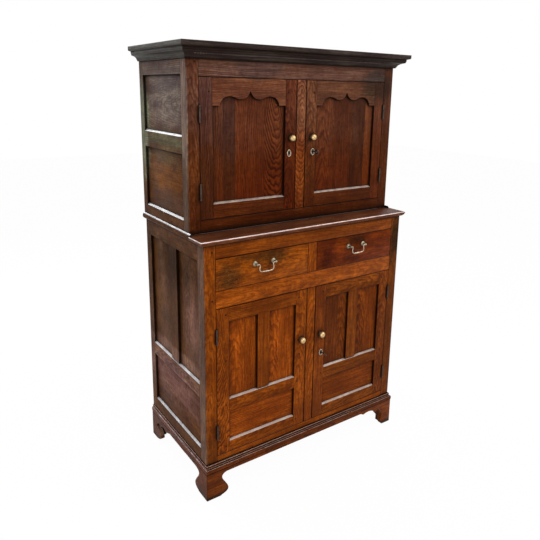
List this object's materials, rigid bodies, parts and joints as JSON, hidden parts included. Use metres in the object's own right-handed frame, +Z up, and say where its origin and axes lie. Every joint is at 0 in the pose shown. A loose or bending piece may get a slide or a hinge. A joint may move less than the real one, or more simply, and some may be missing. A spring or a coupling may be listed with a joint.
{
  "type": "court cupboard",
  "caption": "Two-stage joined oak cupboard on bracket feet: a set-back upper case with ogee-arched panelled doors over drawers and panelled lower doors, brass knobs and bails.",
  "frame": {"origin": "on the floor, under the middle of the cupboard's overall box", "axes": "+X to the right along the front, +Y to the back, +Z up; the doors and drawers face -Y"},
  "size_m": [1.146, 0.597, 1.831],
  "materials": {
    "oak_upper": "waxed dark red-brown oak",
    "oak_lower": "waxed warm brown oak",
    "oak_side": "waxed grey-brown oak",
    "oak_cornice": "waxed near-black oak",
    "oak_inside": "dry unpolished oak",
    "brass": "polished, worn",
    "iron": "dark wrought iron"
  },
  "bodies": {
    "carcase": {"cornice_front": "oak_cornice", "cornice_returns": "oak_cornice", "upper_top_boards": "oak_inside", "upper_front_posts": "oak_upper", "upper_front_rails": "oak_upper", "upper_muntin": "oak_upper", "upper_side_frames": "oak_side", "side_panels": "oak_side", "back_boards": "oak_inside", "shelf_boards": "oak_inside", "waist_mouldings": "oak_side", "ledge_boards": "oak_upper", "lower_front_posts": "oak_lower", "lower_front_rails": "oak_lower", "lower_muntins": "oak_lower", "lower_side_frames": "oak_side", "drawer_runners": "oak_inside", "base_mouldings": "oak_lower", "bracket_feet": "oak_lower", "hinge_frame_leaves": "iron"},
    "upper_left_door": {"upper_left_door_stiles": "oak_upper", "upper_left_door_rails": "oak_upper", "upper_left_door_panel": "oak_upper", "upper_left_door_knob": "brass", "upper_left_door_lock": "iron", "upper_left_door_hinges": "iron"},
    "upper_left_door_bolt": {"upper_left_door_bolt": "iron"},
    "upper_right_door": {"upper_right_door_stiles": "oak_upper", "upper_right_door_rails": "oak_upper", "upper_right_door_panel": "oak_upper", "upper_right_door_knob": "brass", "upper_right_door_lock": "iron", "upper_right_door_hinges": "iron"},
    "upper_right_door_bolt": {"upper_right_door_bolt": "iron"},
    "lower_left_door": {"lower_left_door_stiles": "oak_lower", "lower_left_door_rails": "oak_lower", "lower_left_door_panels": "oak_lower", "lower_left_door_knob": "brass", "lower_left_door_lock": "iron", "lower_left_door_hinges": "iron"},
    "lower_left_door_bolt": {"lower_left_door_bolt": "iron"},
    "lower_right_door": {"lower_right_door_stiles": "oak_lower", "lower_right_door_rails": "oak_lower", "lower_right_door_panels": "oak_lower", "lower_right_door_knob": "brass", "lower_right_door_lock": "iron", "lower_right_door_hinges": "iron"},
    "lower_right_door_bolt": {"lower_right_door_bolt": "iron"},
    "upper_right_key": {"upper_right_key": "iron"},
    "lower_right_key": {"lower_right_key": "iron"},
    "left_drawer": {"left_drawer_front": "oak_lower", "left_drawer_box": "oak_inside", "left_drawer_bottom": "oak_inside", "left_drawer_handle_posts": "brass"},
    "left_drawer_bail": {"left_drawer_bail": "brass"},
    "right_drawer": {"right_drawer_front": "oak_lower", "right_drawer_box": "oak_inside", "right_drawer_bottom": "oak_inside", "right_drawer_handle_posts": "brass"},
    "right_drawer_bail": {"right_drawer_bail": "brass"}
  },
  "joints": [
    {"name": "upper_left_door_hinge", "type": "hinge", "parent": "carcase", "child": "upper_left_door", "pos_m": [-0.4752, -0.1561, 1.445], "axis": [0, 0, -1], "range_deg": [0, 170]},
    {"name": "upper_left_door_bolt_slide", "type": "slide", "parent": "upper_left_door", "child": "upper_left_door_bolt", "axis": [1, 0, 0], "range_m": [0, 0.009]},
    {"name": "upper_right_door_hinge", "type": "hinge", "parent": "carcase", "child": "upper_right_door", "pos_m": [0.4752, -0.1561, 1.445], "axis": [0, 0, 1], "range_deg": [0, 170]},
    {"name": "upper_right_door_bolt_slide", "type": "slide", "parent": "upper_right_door", "child": "upper_right_door_bolt", "axis": [-1, 0, 0], "range_m": [0, 0.009]},
    {"name": "lower_left_door_hinge", "type": "hinge", "parent": "carcase", "child": "lower_left_door", "pos_m": [-0.4702, -0.2631, 0.505], "axis": [0, 0, -1], "range_deg": [0, 170]},
    {"name": "lower_left_door_bolt_slide", "type": "slide", "parent": "lower_left_door", "child": "lower_left_door_bolt", "axis": [1, 0, 0], "range_m": [0, 0.009]},
    {"name": "lower_right_door_hinge", "type": "hinge", "parent": "carcase", "child": "lower_right_door", "pos_m": [0.4702, -0.2631, 0.505], "axis": [0, 0, 1], "range_deg": [0, 170]},
    {"name": "lower_right_door_bolt_slide", "type": "slide", "parent": "lower_right_door", "child": "lower_right_door_bolt", "axis": [-1, 0, 0], "range_m": [-0.0013, 0.0077]},
    {"name": "upper_right_key_turn", "type": "hinge", "parent": "upper_right_door", "child": "upper_right_key", "pos_m": [0.0656, -0.1515, 1.411], "axis": [0, -1, 0], "range_deg": [0, 360]},
    {"name": "lower_right_key_turn", "type": "hinge", "parent": "lower_right_door", "child": "lower_right_key", "pos_m": [0.0646, -0.2585, 0.51], "axis": [0, -1, 0], "range_deg": [-52, 308]},
    {"name": "left_drawer_slide", "type": "slide", "parent": "carcase", "child": "left_drawer", "axis": [0, -1, 0], "range_m": [0, 0.38]},
    {"name": "left_drawer_bail_hinge", "type": "hinge", "parent": "left_drawer", "child": "left_drawer_bail", "pos_m": [-0.2475, -0.2765, 0.9893], "axis": [-1, 0, 0], "range_deg": [0, 95]},
    {"name": "right_drawer_slide", "type": "slide", "parent": "carcase", "child": "right_drawer", "axis": [0, -1, 0], "range_m": [0, 0.38]},
    {"name": "right_drawer_bail_hinge", "type": "hinge", "parent": "right_drawer", "child": "right_drawer_bail", "pos_m": [0.2475, -0.2765, 0.9893], "axis": [-1, 0, 0], "range_deg": [0, 95]}
  ],
  "couplings": [
    {"joint": "upper_right_door_bolt_slide", "follows": "upper_right_key_turn", "m_per_rad": 0.0014324},
    {"joint": "lower_right_door_bolt_slide", "follows": "lower_right_key_turn", "m_per_rad": 0.0014324}
  ]
}
